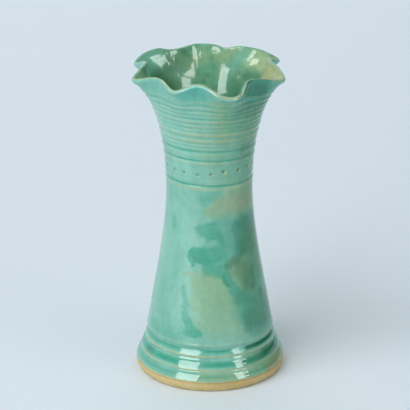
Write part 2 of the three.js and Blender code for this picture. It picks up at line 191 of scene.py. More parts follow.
# Strokes on the liner, with degrees counted from the back, leftwards as seen from the front.
LINER_BRUSHED = {
    "bloom": (
        (-74, 266, -40, 262, 8, 0.95, 0.7), (-44, 257, -32, 254, 5, 0.25, 1),
        (-22, 268, -8, 264, 4, 0.6, 0.9), (-27, 262, -14, 255, 5, 0.4, 1), (4, 262, 20, 256, 5, 0.5, 1),
        (28, 264, 34, 260, 3, 0.4, 1), (-112, 266, -80, 262, 10, 1, 0.8), (95, 268, 110, 262, 5, 0.5, 0.9),
    ),
    "shade": (
        (36, 262, 52, 250, 6, 0.5, 0.9), (56, 244, 66, 222, 14, 0.8, 0.9), (-28, 244, -56, 234, 9, 0.5, 1),
        (-54, 252, -40, 249, 5, 0.55, 0.9), (10, 232, 24, 222, 6, 0.4, 1),
    ),
    "liner_aqua": (
        (48, 266, 80, 262, 6, 0.8, 0.8), (-30, 264, -22, 256, 5, 0.7, 0.9), (30, 252, 20, 240, 7, 0.5, 1),
        (0, 250, -14, 240, 8, 0.25, 1), (80, 262, 110, 256, 8, 0.6, 0.9),
    ),
    "liner_cream": (
        (-114, 266, -84, 258, 12, 0.9, 0.7), (-72, 268, -58, 264, 5, 0.5, 0.9),
    ),
}

# Millimetres round the wall for each degree, at the middle of the body.
BRUSH_PITCH = 0.785

# Millimetres over which neighbouring strokes run into one another.
BRUSH_MELT = 0.9

# Slopes of the drawn outline where the body leaves the foot and where the neck meets the lip, and how far the
# ends hold their direction, as shares of the rise from foot to waist and from waist to lip.
BODY_SLOPE, BODY_HOLD, WAIST_HOLD_BELOW = 0.17, 0.42, 0.3
LIP_SLOPE, LIP_HOLD, WAIST_HOLD_ABOVE = 0.55, 0.3, 0.4

# How far glaze rounds the foot's corners, in millimetres.
SOFTENING = 0.28

# Soft flutes inside the neck: how many, degrees from +X to one, height and half the height in millimetres.
FLUTES = (9, 77, 253, 37)

# Finger rings inside: radians of their wave in a millimetre, height and half the height in millimetres.
FINGER_RINGS = (1.25, 215, 60)

# How far below the lip columns are evened out, and how far from the dots they gather, in millimetres.
EVENED, GATHERED = 46, 9

# Rows of the outer face: from and to a height, and how far apart, in millimetres. Above them, up to the lip's
# rounding, they keep the spacing of the lip.
FACE_BANDS = (
    (9.1, 40.6, 0.47), (40.6, 173.5, 2.0), (173.5, 187.2, 0.62), (187.2, 195.2, 0.38), (195.2, 206, 0.66),
    (206, 262.5, 0.74),
)
LIP_SPACING = 0.8

# How far below the lip the two coats meet inside, in millimetres.
SEAM = 3.2

# Heights of the rows on the back of the outer coat and on the clay beneath it, in millimetres.
COAT_BACK = (
    265, 258, 250, 242, 234, 226, 214, 202.5, 190, 180, 160, 140, 110, 80, 56, 42, 35, 29.1, 24, 18.4, 15,
    10.6,
)
CLAY_FACE = (
    12.5, 15, 18.4, 22, 26, 29.1, 32, 35, 39, 44, 56, 68, 80, 95, 110, 125, 140, 155, 168, 180, 190, 202.5,
    212, 220, 228, 236, 243, 250, 256, 261, 265,
)

# The bare foot in millimetres: radius of the flat underside, width and height of its rounding, and the band's
# top edge as radius and height.
UNDERSIDE = 60.4
ROUNDING = (4.6, 7.2)
BAND_EDGE = ((65.05, 8.0), (64.85, 8.8), (64.4, 9.4), (63.6, 9.8), (63.1, 10.4))

# Points this close together are one, in millimetres: on a drawn outline, where a turned shell closes, and
# all over it.
DRAWN_GAP, SEAM_GAP, MERGE_GAP = 0.01, 0.001, 0.002

# Edges sharper than this many degrees are shaded sharp.
SMOOTH_ANGLE = 50


# ---- Settings a maker would change ----

def length(name, description, default):
    return bpy.props.FloatProperty(
        name=name, description=description, default=default, unit="LENGTH", precision=4
    )


def number(name, description, default):
    return bpy.props.FloatProperty(name=name, description=description, default=default)


def tint(red, green, blue):
    """A colour as it looks on a screen, 0 to 255, as the light it stands for."""
    def one(value):
        value /= 255
        return value / 12.92 if value <= 0.04045 else ((value + 0.055) / 1.055) ** 2.4

    return one(red), one(green), one(blue)


def colour(name, description, default):
    return bpy.props.FloatVectorProperty(
        name=name, description=description, default=tint(*default), subtype="COLOR", size=3, min=0, max=1
    )


class VaseShape(bpy.types.PropertyGroup):
    band_radius: length("Foot radius", "Widest radius, on the bare band of the foot", 0.0651)
    body_radius: length("Body radius", "Radius where the body rises from the foot", 0.0554)
    body_height: length("Body foot height", "Height where the body rises from the foot", 0.0383)
    waist_radius: length("Waist radius", "Smallest radius of the neck", 0.0373)
    waist_height: length("Waist height", "Height of the waist", 0.1698)
    lip_radius: length("Lip radius", "Mean radius of the lip", 0.0615)
    lip_height: length("Lip height", "Mean height of the lip", 0.2708)
    wall: length("Wall", "Thickness of the wall below the waist", 0.0062)
    lip_wall: length("Lip wall", "Thickness of the wall at the lip", 0.004)
    crown: length("Lip crown", "Rise of the rounded lip over the wall", 0.0012)
    lip_round: length("Lip rounding", "How far below its top the lip begins to round over", 0.0009)
    floor: length("Floor", "Thickness of the floor inside", 0.009)
    fillet: length("Floor fillet", "Radius of the hollow between floor and wall", 0.01)
    inside_foot: length("Inside foot", "Height up to which the inside rises straight from the floor", 0.0449)
    coat: length("Coat", "Thickness of the glaze", 0.0006)
    ruffle: length("Ruffle depth", "How far down the wall the lip's ruffle reaches", 0.04)
    curl_height: length("Curl depth", "How far down the wall the lip curls outwards", 0.01)


class ThrowingMarks(bpy.types.PropertyGroup):
    relief: number("Relief", "Strength of the turned marks", 1.05)
    wander: length("Wander", "How far a turned mark wanders up and down on its way round", 0.00045)
    inside: length("Inside rings", "Relief of the finger marks inside", 0.00008)
    flutes: length("Inside flutes", "Depth of the soft flutes under the lip", 0.0003)
    hollows: number("Hollows", "Strength of the thumb's hollows", 1.0)
    dot_radius: length("Dot radius", "Radius of a pressed dot", 0.0016)
    dot_depth: length("Dot depth", "Depth of a pressed dot", 0.00045)


class GlazeColours(bpy.types.PropertyGroup):
    aqua: colour("Aqua", "Glaze of middling thickness", (117, 182, 163))
    # Pale aqua also paints a reflection: the long soft band down the left of the body.
    pale: colour("Pale aqua", "Slightly thinner glaze", (140, 197, 180))
    teal: colour("Teal", "Thick glaze", (50, 158, 132))
    blue: colour("Blue-green", "Glaze run thick under the lip", (84, 188, 175))
    deep: colour("Deep green", "Thick glaze that pooled", (20, 94, 70))
    straw: colour("Straw", "Thin glaze over buff clay", (137, 181, 143))
    olive: colour("Olive", "Green cast where coats cross", (62, 122, 74))
    tan: colour("Tan", "Thinnest glaze on the body", (154, 172, 142))
    cream: colour("Cream", "Glaze broken thin over a crest", (186, 192, 142))
    rust: colour("Rust", "Bare edge where the glaze ran off", (184, 128, 66))
    liner: colour("Liner", "Glaze inside the neck", (108, 172, 138))
    liner_deep: colour("Deep liner", "Glaze low inside the neck", (64, 120, 88))
    bloom: colour("Liner bloom", "Thin glaze inside, near the lip", (160, 186, 144))
    shade: colour("Liner shade", "Thick glaze inside", (50, 112, 80))
    buff: colour("Buff clay", "Bare fired clay", (208, 189, 135))
    toast: colour("Toasted clay", "Clay scorched beside the glaze", (190, 150, 86))


class StudioLight(bpy.types.PropertyGroup):
    gloss: number("Gloss", "Watts for each square metre of softbox", 23.5)
    left_key: number("Left key", "Watts of the broad light", 119)
    right_key: number("Right fill", "Watts of the broad light", 19)
    back_wash: number("Back wash", "Watts over the paper behind", 7)
    mouth: number("Mouth light", "Watts down into the vase's mouth", 30)
    room: number("Room light", "Strength of the even light", 0.43)
    floor_tint: colour("Floor", "Colour of the paper floor", (224, 234, 243))
    room_tint: colour("Room", "Colour of the even light", (230, 236, 238))
    focal_length: number("Lens", "Focal length in mm", 184.4)
    tilt: bpy.props.FloatProperty(
        name="Tilt", description="How far the camera looks down", default=math.radians(21.2), subtype="ANGLE"
    )


# ---- The wall's surface ----

def bezier(start, start_hold, end_hold, end, count=400):
    share = np.linspace(0, 1, count)[:, None]
    rest = 1 - share
    weights = (rest**3, 3 * share * rest**2, 3 * share**2 * rest, share**3)
    return sum(weight * np.array(point) for weight, point in zip(weights, (start, start_hold, end_hold, end)))


def softened(line, reach, step=0.1 * MM):
    """The line with every corner rounded by about the reach, as glaze rounds it."""
    along = np.concatenate([[0], np.cumsum(np.linalg.norm(np.diff(line, axis=0), axis=1))])
    even = np.arange(0, along[-1], step)
    fine = np.stack([np.interp(even, along, line[:, axis]) for axis in (0, 1)], axis=1)
    half = int(3 * reach / step)
    weights = np.exp(-0.5 * (np.arange(-half, half + 1) * step / reach) ** 2)
    weights /= weights.sum()
    padded = np.concatenate([np.repeat(fine[:1], half, 0), fine, np.repeat(fine[-1:], half, 0)])
    return np.stack([np.convolve(padded[:, axis], weights, "valid") for axis in (0, 1)], axis=1)


def smooth_steps(places, marks):
    """A line that swings smoothly from mark to mark and rests level at each."""
    heights, values = np.array(marks, float).T
    place = np.clip(places, heights[0], heights[-1])
    index = np.clip(np.searchsorted(heights, place, side="right") - 1, 0, len(heights) - 2)
    share = (place - heights[index]) / (heights[index + 1] - heights[index])
    swing = (1 - np.cos(np.pi * share)) / 2
    return values[index] + (values[index + 1] - values[index]) * swing


def closed_spline(points, steps=60):
    """A smooth closed line through unevenly spaced points."""
    line = []
    share = np.linspace(0, 1, steps, endpoint=False)[:, None]
    for index in range(len(points)):
        before, start, end, after = (points[(index + offset) % len(points)] for offset in (-1, 0, 1, 2))
        sides = (start - before, end - start, after - end)
        first, middle, last = (np.linalg.norm(side) ** 0.5 for side in sides)
        level = (end - start) / middle
        leave = ((start - before) / first - (end - before) / (first + middle) + level) * middle
        arrive = (level - (after - start) / (middle + last) + (after - end) / last) * middle
        line.append(
            (2 * share**3 - 3 * share**2 + 1) * start
            + (share**3 - 2 * share**2 + share) * leave
            + (3 * share**2 - 2 * share**3) * end
            + (share**3 - share**2) * arrive
        )
    return np.vstack(line)


def bump(distance, reach):
    """1 at no distance, and 0 from the reach on, with no corner between."""
    return 0.5 + 0.5 * np.cos(np.pi * np.clip(np.abs(distance) / reach, 0, 1))


class Wall:
    """The outer face of the wall as a surface over an angle round the vase and a height up it."""

    def __init__(self, shape, marks):
        self.shape = shape
        self.marks = marks
        s = shape
        flare = s.lip_height - s.waist_height
        rise = s.waist_height - s.body_height
        body = bezier(
            (s.body_radius, s.body_height),
            (s.body_radius - BODY_SLOPE * BODY_HOLD * rise, s.body_height + BODY_HOLD * rise),
            (s.waist_radius, s.waist_height - WAIST_HOLD_BELOW * rise),
            (s.waist_radius, s.waist_height),
        )
        neck = bezier(
            (s.waist_radius, s.waist_height),
            (s.waist_radius, s.waist_height + WAIST_HOLD_ABOVE * flare),
            (s.lip_radius - LIP_SLOPE * LIP_HOLD * flare, s.lip_height - LIP_HOLD * flare),
            (s.lip_radius, s.lip_height),
        )
        foot = np.array(FOOT_LINE) * MM
        above = np.concatenate([body[body[:, 1] > foot[-1, 1] + 1 * MM], neck[1:]])
        # The foot is softened together with the start of the body. The end of that line is cut off, and the
        # body's own points take over.
        low = softened(np.concatenate([foot, above[:12]]), SOFTENING * MM)[:-30]
        line = np.concatenate([low, above[10:]])
        self.line = line[np.argsort(line[:, 1], kind="stable")]
        lip = []
        for angle, reach, up in LIP_POINTS:
            turn = math.radians(angle)
            radius = s.lip_radius + reach * MM
            lip.append(np.array((radius * math.cos(turn), radius * math.sin(turn), up * MM)))
        lip = closed_spline(lip)
        self.lip_angle = np.unwrap(np.arctan2(lip[:, 1], lip[:, 0]))
        self.lip_reach = np.hypot(lip[:, 0], lip[:, 1]) - s.lip_radius
        self.lip_rise = lip[:, 2]
        along = np.cumsum(np.linalg.norm(np.diff(np.vstack([lip[-1:], lip]), axis=0), axis=1))
        self.lip_along = along / along[-1] * math.tau

    def radius(self, height):
        return np.interp(height, self.line[:, 1], self.line[:, 0])

    def thickness(self, height):
        s = self.shape
        share = np.clip((height - s.waist_height) / (s.lip_height - s.waist_height), 0, 1)
        return s.wall + (s.lip_wall - s.wall) * share

    def top_share(self, height, depth):
        """How much of what happens at the lip is felt at a height: all at the lip, none from the depth on."""
        return np.clip((height - self.shape.lip_height + depth) / depth, 0, 1) ** 2

    def inside_marks(self, angle, height):
        """How far the inner face stands back: flutes and hollows under the lip, and the finger's rings."""
        m = self.marks
        count, turn, middle, tall = FLUTES
        back = m.flutes * np.cos(count * (angle - math.radians(turn))) * bump(height - middle * MM, tall * MM)
        for turn, width, depth, middle, tall in THUMB_HOLLOWS:
            away = (np.degrees(angle) - turn + 180) % 360 - 180
            back += m.hollows * depth * MM * bump(away, width) * bump(height - middle * MM, tall * MM)
        wave, middle, tall = FINGER_RINGS
        rings = np.sin(height / MM * wave + 0.5 * np.sin(2 * angle)) * bump(height - middle * MM, tall * MM)
        return back + m.inside * rings

    def curl(self, angle, height):
        """How far the lip curls outwards."""
        turns, curls = np.array(LIP_CURL).T
        curled = np.interp(np.degrees(angle), turns, curls, period=360) * MM
        return curled * self.top_share(height, self.shape.curl_height)

    def dot_field(self, angle, height):
        """How far a place lies across and up from its dot's middle, in dot radii."""
        pitch = math.tau / DOT_COUNT
        turned = (angle - math.radians(DOT_TURN)) % math.tau
        nearest = np.round(turned / pitch).astype(int) % DOT_COUNT
        strays = np.array(DOT_STRAYS)[nearest]
        middle = nearest * pitch + np.radians(strays[:, 0])
        across = (turned - middle + math.pi) % math.tau - math.pi
        up = height - (DOT_HEIGHT + strays[:, 1]) * MM
        return across * self.radius(height) / self.marks.dot_radius, up / self.marks.dot_radius

    def turned(self, angle, height, marks):
        """A line of turned marks, which stray a little up and down round the vase, and not at the front."""
        turn = angle + math.pi / 2
        wander = self.marks.wander * (np.sin(turn) + 0.6 * np.sin(2 * turn))
        return smooth_steps((height + wander) / MM, marks)

    def relief(self, angle, height):
        """Turned marks, a little uneven round the vase, and pressed dots with a raised rim."""
        m = self.marks
        rings = self.turned(angle, height, NECK_MARKS) * MM * m.relief
        rings *= 0.88 + 0.12 * np.sin(3 * angle + height * 260)
        near = np.hypot(*self.dot_field(angle, height))
        rim = 0.12 * m.dot_depth * np.exp(-(((near - 1.7) / 0.6) ** 2))
        return rings - m.dot_depth * np.exp(-(near**3)) + rim

    def place(self, angle, height, relief=0.0, ruffled=1.0):
        share = self.top_share(height, self.shape.ruffle) * ruffled
        reach = np.interp(angle, self.lip_angle, self.lip_reach, period=math.tau)
        rise = np.interp(angle, self.lip_angle, self.lip_rise, period=math.tau)
        radius = self.radius(height) + reach * share + self.curl(angle, height) * ruffled + relief
        return np.stack([radius * np.cos(angle), radius * np.sin(angle), height + rise * share**1.6], axis=-1)

    def point(self, angle, height, sunk, risen, relief=0.0, ruffled=1.0):
        """A place sunk below the outer face along its normal, and risen over its top edge."""
        turn, step = 0.008, 0.4 * MM
        low = np.minimum(height, self.shape.lip_height - step)
        around = self.place(angle + turn, height, 0, ruffled) - self.place(angle - turn, height, 0, ruffled)
        up = self.place(angle, low + step, 0, ruffled) - self.place(angle, low - step, 0, ruffled)
        normal = np.cross(around, up)
        normal /= np.linalg.norm(normal, axis=-1, keepdims=True)
        up /= np.linalg.norm(up, axis=-1, keepdims=True)
        return self.place(angle, height, relief, ruffled) - normal * sunk[..., None] + up * risen[..., None]


def wall_of(context):
    return Wall(context.scene.vase_shape, context.scene.vase_marks)


# ---- Turning on the wheel ----

def named(name):
    """The object just added, under its own name."""
    added = bpy.context.object
    added.name = added.data.name = name
    return added


@contextlib.contextmanager
def edit_mode():
    bpy.ops.object.mode_set(mode="EDIT")
    yield
    bpy.ops.object.mode_set(mode="OBJECT")


def outline_row(height, sunk=0.0, risen=0.0, fixed=None):
    """One point of an outline: on the wall, or fixed at a radius and height of its own."""
    return {"height": height, "sunk": sunk, "risen": risen, "fixed": fixed}


def outline_places(wall, rows):
    places = []
    for row in rows:
        if row["fixed"]:
            places.append((row["fixed"][0], 0.0, row["fixed"][1]))
            continue
        given = (np.array([value]) for value in (0.0, row["height"], row["sunk"], row["risen"]))
        at = wall.point(*given, ruffled=0.0)[0]
        places.append((at[0], 0.0, at[2]))
    return np.array(places)


def draw_outline(name, places, closed):
    """Draws the outline from one vertex, extruded from point to point."""
    bpy.ops.object.select_all(action="DESELECT")
    bpy.ops.mesh.primitive_plane_add(size=MM, location=places[0])
    piece = named(name)
    bpy.ops.object.transform_apply(location=True, rotation=True, scale=True)
    with edit_mode():
        bpy.ops.mesh.select_all(action="SELECT")
        bpy.ops.mesh.merge(type="CENTER")
        for step in np.diff(places, axis=0):
            bpy.ops.mesh.extrude_region_move(TRANSFORM_OT_translate={"value": tuple(step)})
    if closed:
        found = matched_rows(piece.data, places)
        for vertex in piece.data.vertices:
            vertex.select = found[vertex.index] in (0, len(places) - 1)
        with edit_mode():
            bpy.ops.mesh.edge_face_add()
    return piece


def coordinates(mesh):
    values = np.empty(len(mesh.vertices) * 3)
    mesh.vertices.foreach_get("co", values)
    return values.reshape(-1, 3)


def matched_rows(mesh, places):
    """For each vertex of a drawn outline, which row it stands for."""
    gaps = np.linalg.norm(coordinates(mesh)[:, None] - places[None], axis=2)
    if gaps.min(axis=1).max() > DRAWN_GAP * MM or len(mesh.vertices) != len(places):
        raise RuntimeError(f"the outline of {mesh.name} was not drawn as given")
    return gaps.argmin(axis=1)


def write_values(mesh, name, values):
    """Keeps one number, or three, at each point of a mesh."""
    values = np.asarray(values, np.float32)
    kind, key = ("FLOAT", "value") if values.ndim == 1 else ("FLOAT_VECTOR", "vector")
    mesh.attributes.new(name, kind, "POINT").data.foreach_set(key, values.ravel())


def read_values(mesh, name):
    values = np.empty(len(mesh.vertices), np.float32)
    mesh.attributes[name].data.foreach_get("value", values)
    return values.astype(float)


def turn_on_wheel(wall, name, rows, closed=False):
    """Draws an outline and turns it once round the vase's axis into a closed shell."""
    places = outline_places(wall, rows)
    piece = draw_outline(name, places, closed)
    found = matched_rows(piece.data, places)
    for key in ("height", "sunk", "risen"):
        write_values(piece.data, key, [rows[index][key] for index in found])
    write_values(piece.data, "on_wall", [0.0 if rows[index]["fixed"] else 1.0 for index in found])
    wheel = piece.modifiers.new("Wheel", "SCREW")
    wheel.axis = "Z"
    wheel.angle = math.tau
    wheel.steps = wheel.render_steps = COLUMNS
    wheel.use_merge_vertices = True
    wheel.merge_threshold = SEAM_GAP * MM
    bpy.ops.object.modifier_apply(modifier=wheel.name)
    with edit_mode():
        bpy.ops.mesh.select_all(action="SELECT")
        bpy.ops.mesh.remove_doubles(threshold=MERGE_GAP * MM)
        bpy.ops.mesh.normals_make_consistent(inside=False)
    return piece


def spread_columns(wall, angle, height):
    """Slides the columns along the surface: even along the lip at the top, and gathered at the dots."""
    turned = angle + math.radians(DOT_TURN)
    share = bump(wall.shape.lip_height - height, EVENED * MM)
    even = np.interp(turned % math.tau, wall.lip_along, wall.lip_angle, period=math.tau)
    shift = (even - turned + math.pi) % math.tau - math.pi
    phase = angle * DOT_COUNT
    nearest = np.round(phase / math.tau).astype(int) % DOT_COUNT
    stray = np.radians(np.array(DOT_STRAYS)[nearest, 0])
    gather = -0.55 * np.sin(phase) / DOT_COUNT + stray * (0.5 + 0.5 * np.cos(phase))
    return turned + shift * share + gather * bump(height - DOT_HEIGHT * MM, GATHERED * MM)


def inner_share(wall, height, sunk, width):
    """How much a point belongs to the inner face: none in the outer third of the wall, all soon after."""
    return np.clip((sunk / wall.thickness(height) - 0.35) / width, 0, 1)


def shape_by_hand(wall, piece, marked=False):
    """Moves every point of a turned shell to its place on the ruffled wall, with turned marks where asked.

    Gives back each point's angle, height, depth under the outer face and rise over the lip, and whether it
    lies on that face.
    """
    mesh = piece.data
    co = coordinates(mesh)
    height, sunk, risen = (read_values(mesh, key) for key in ("height", "sunk", "risen"))
    on_wall = read_values(mesh, "on_wall") > 0.5
    angle = np.arctan2(co[:, 1], co[:, 0]) % math.tau
    turned = spread_columns(wall, angle, height)
    at_face = (sunk < 1e-7) & (risen < 1e-7)
    sunk = sunk - wall.inside_marks(turned, height) * inner_share(wall, height, sunk, 0.35)
    relief = np.where(at_face & marked, wall.relief(turned, height), 0)
    moved = wall.point(turned, height, sunk, risen, relief)
    flat = np.hypot(co[:, 0], co[:, 1])
    angle += math.radians(DOT_TURN)
    fixed = np.stack([flat * np.cos(angle), flat * np.sin(angle), co[:, 2]], axis=1)
    mesh.vertices.foreach_set("co", np.where(on_wall[:, None], moved, fixed).astype(np.float32).ravel())
    mesh.update()
    return turned, height, sunk, risen, at_face


def finish_piece(piece, slot, material, *nodes):
    bpy.ops.object.select_all(action="DESELECT")
    piece.select_set(True)
    bpy.context.view_layer.objects.active = piece
    bpy.ops.object.shade_smooth_by_angle(angle=math.radians(SMOOTH_ANGLE))
    piece.data.materials.clear()
    piece.data.materials.append(material)
    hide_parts(*nodes)
    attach(piece, BODY)


# ---- Outlines ----

def stretch(low, high, spacing):
    """Heights from low to just under high, about the spacing apart."""
    count = max(1, round((high - low) / spacing))
    return [low + (high - low) * index / count for index in range(count)]


def crown_rows(wall, depth, pieces):
    """Rows over the rounded lip, from the outer face to the inner one, sunk by a depth all round."""
    s = wall.shape
    rows = []
    for index in range(pieces + 1):
        turn = math.pi * index / pieces
        up = (s.lip_round + s.crown - depth) * math.sin(turn) - s.lip_round
        height = s.lip_height + min(up, 0)
        across = wall.thickness(height) - 2 * depth
        rows.append(outline_row(height, depth + across * (1 - math.cos(turn)) / 2, max(up, 0)))
    return rows


def floor_rows(wall, depth, steps, shares):
    """Rows down the hollow at the foot of the inside and in over the floor, sunk by a depth."""
    s = wall.shape
    middle = wall.radius(s.inside_foot) - s.wall - s.fillet
    places = []
    for index in range(steps + 1):
        turn = math.pi / 2 * (1 - index / steps)
        reach = s.fillet + depth
        places.append((middle + reach * math.sin(turn), s.floor + s.fillet - reach * math.cos(turn)))
    places += [(middle * share, s.floor - depth) for share in shares]
    return [outline_row(0, fixed=place) for place in places]


def inside_rows(wall, heights, depth=0.0):
    """Rows on the inner face, or a depth behind it."""
    return [outline_row(height, wall.thickness(height) - depth) for height in heights]


def outer_coat_rows(wall):
    """From the glaze line up the outer face, over the lip to the seam, and back down against the clay."""
    s = wall.shape
    seam = s.lip_height - SEAM * MM
    bands = FACE_BANDS + ((FACE_BANDS[-1][1], (s.lip_height - s.lip_round) / MM, LIP_SPACING),)
    rows = [outline_row(height * MM) for band in bands for height in stretch(*band)]
    rows += crown_rows(wall, 0.0, 16)
    rows += inside_rows(wall, [seam]) + inside_rows(wall, [seam], s.coat)
    rows += reversed(crown_rows(wall, s.coat, 6))
    return rows + [outline_row(height * MM, s.coat) for height in COAT_BACK]


def inner_coat_rows(wall):
    """From the seam down the inner face and over the floor, and back up against the clay."""
    s = wall.shape
    seam = s.lip_height - SEAM * MM
    shares = (0.8, 0.6, 0.4, 0.2, 0.1, 0)
    face = stretch(s.inside_foot, seam, 2.1 * MM) + [seam]
    back = stretch(s.inside_foot, seam, 12 * MM) + [seam]
    rows = inside_rows(wall, reversed(face)) + floor_rows(wall, 0.0, 8, shares)
    return rows + floor_rows(wall, s.coat, 8, shares)[::-1] + inside_rows(wall, back, s.coat)


def clay_rows(wall):
    """From the middle of the underside out and up the bare band, then beneath both coats to the floor."""
    s = wall.shape
    seat = 1.5 * s.coat
    wide, tall = ROUNDING
    places = [(share * UNDERSIDE * MM, 0.0) for share in (0, 0.25, 0.5, 0.75, 0.9, 0.97, 1)]
    for turn in map(math.radians, (-84, -74, -62, -50, -38, -26, -13, 0)):
        places.append((s.band_radius - wide * MM * (1 - math.cos(turn)), tall * MM * (1 + math.sin(turn))))
    places += [(radius * MM, height * MM) for radius, height in BAND_EDGE]
    rows = [outline_row(0, fixed=place) for place in places]
    # The clay keeps further back under the foot's sharp steps than elsewhere.
    rows += [outline_row(height * MM, max(seat, (1.5 if height < 40 else 0.9) * MM)) for height in CLAY_FACE]
    rows += crown_rows(wall, seat, 6)
    inside = [height * MM for height in reversed(CLAY_FACE) if height * MM > s.inside_foot] + [s.inside_foot]
    return rows + inside_rows(wall, inside, seat) + floor_rows(wall, seat, 6, (0.6, 0.3, 0))


# ---- Brushing ----

def brush_field(angle, height, strokes):
    """The field of a brushed coat: millimetres inside its edge, its softness there and its strength."""
    turn = np.degrees((angle + math.pi / 2 + math.pi) % math.tau - math.pi)
    place = np.stack([turn * BRUSH_PITCH, height / MM], axis=1)
    total = np.zeros(len(angle))
    softness = np.zeros(len(angle))
    strength = np.zeros(len(angle))
    for first, low, last, high, half_width, power, soft in strokes:
        start = np.array((first * BRUSH_PITCH, low))
        along = np.array((last * BRUSH_PITCH, high)) - start
        share = np.clip((place - start) @ along / (along @ along), 0, 1)
        inside = half_width - np.linalg.norm(place - start - share[:, None] * along, axis=1)
        weight = np.exp(np.clip(inside, -30, 6) / BRUSH_MELT)
        total += weight
        softness += weight * soft * half_width
        strength += weight * power
    return np.stack([np.clip(BRUSH_MELT * np.log(total), -9, 6), softness / total, strength / total], axis=1)


def brush_on(mesh, coats, angle, height):
    for name, strokes in coats.items():
        write_values(mesh, name, brush_field(angle, height, strokes))


def lip_nearness(wall, height, sunk, risen, share, reach):
    """1 on the lip's crown at a share of the way in from its outer face, falling off over the reach."""
    s = wall.shape
    across = sunk - share * s.lip_wall
    up = height + risen - s.lip_height - 0.7 * s.crown
    return np.exp(-((np.hypot(across, up) / reach) ** 2))


# ---- The three pieces ----

class VASE_OT_throw_clay(bpy.types.Operator):
    """Throws the clay body: a flat underside, a bare band round the foot, and the wall under the glaze"""

    bl_idname = "vase.throw_clay"
    bl_label = "Throw the clay body"

    def execute(self, context):
        wall = wall_of(context)
        piece = turn_on_wheel(wall, "clay_body", clay_rows(wall))
        shape_by_hand(wall, piece)
        finish_piece(piece, "bare_clay", clay_material(context.scene.vase_colours), "stoneware_body")
        return {"FINISHED"}


class VASE_OT_coat_outside(bpy.types.Operator):
    """Lays the outer glaze with its turned marks, dots and ruffled lip"""

    bl_idname = "vase.coat_outside"
    bl_label = "Glaze the outside"

    def execute(self, context):
        wall = wall_of(context)
        piece = turn_on_wheel(wall, "outer_glaze_coat", outer_coat_rows(wall), closed=True)
        angle, height, sunk, risen, at_face = shape_by_hand(wall, piece, marked=True)
        across, up = wall.dot_field(angle, height)
        near = np.hypot(across, up)
        # The thin crescent at the lower right of each dot, where glaze breaks over its rim and the pit's
        # slope
        # faces the key light: partly a painted highlight.
        crescent = np.exp(-((np.hypot(across - 1.1, up + 0.75) / 0.95) ** 2)) * (1 - np.exp(-(near**4)))
        inside = inner_share(wall, height, sunk, 0.4)
        for name, values in (
            ("glaze_depth", np.where(at_face, wall.turned(angle, height, GLAZE_POOLS), 0)),
            ("lip_edge", lip_nearness(wall, height, sunk, risen, 0.55, 0.8 * MM)),
            ("lip_crown", lip_nearness(wall, height, sunk, risen, 0.5, 1.9 * MM)),
            ("dot", np.where(at_face, np.exp(-((near / 0.95) ** 2)), 0)),
            ("dot_crescent", np.where(at_face, crescent, 0)),
            ("inside", np.where(sunk > wall.shape.coat * 1.5, inside, 0)),
        ):
            write_values(piece.data, name, values)
        brush_on(piece.data, BRUSHED, angle, height)
        brush_on(piece.data, LINER_BRUSHED, angle + math.pi, height)
        finish_piece(piece, "outer_glaze", outer_glaze_material(context.scene.vase_colours), "outer_glaze")
        return {"FINISHED"}


class VASE_OT_coat_inside(bpy.types.Operator):
    """Lays the inner glaze over the floor and up to the lip"""

    bl_idname = "vase.coat_inside"
    bl_label = "Glaze the inside"

    def execute(self, context):
        wall = wall_of(context)
        piece = turn_on_wheel(wall, "inner_glaze_coat", inner_coat_rows(wall))
        angle, height = shape_by_hand(wall, piece)[:2]
        brush_on(piece.data, LINER_BRUSHED, angle + math.pi, height)
        finish_piece(piece, "inner_glaze", inner_glaze_material(context.scene.vase_colours), "inner_glaze")
        return {"FINISHED"}


# ---- Nodes ----

def spaced(inputs):
    """Inputs by their labels, with a space for each underscore."""
    return {name.replace("_", " "): value for name, value in inputs.items()}


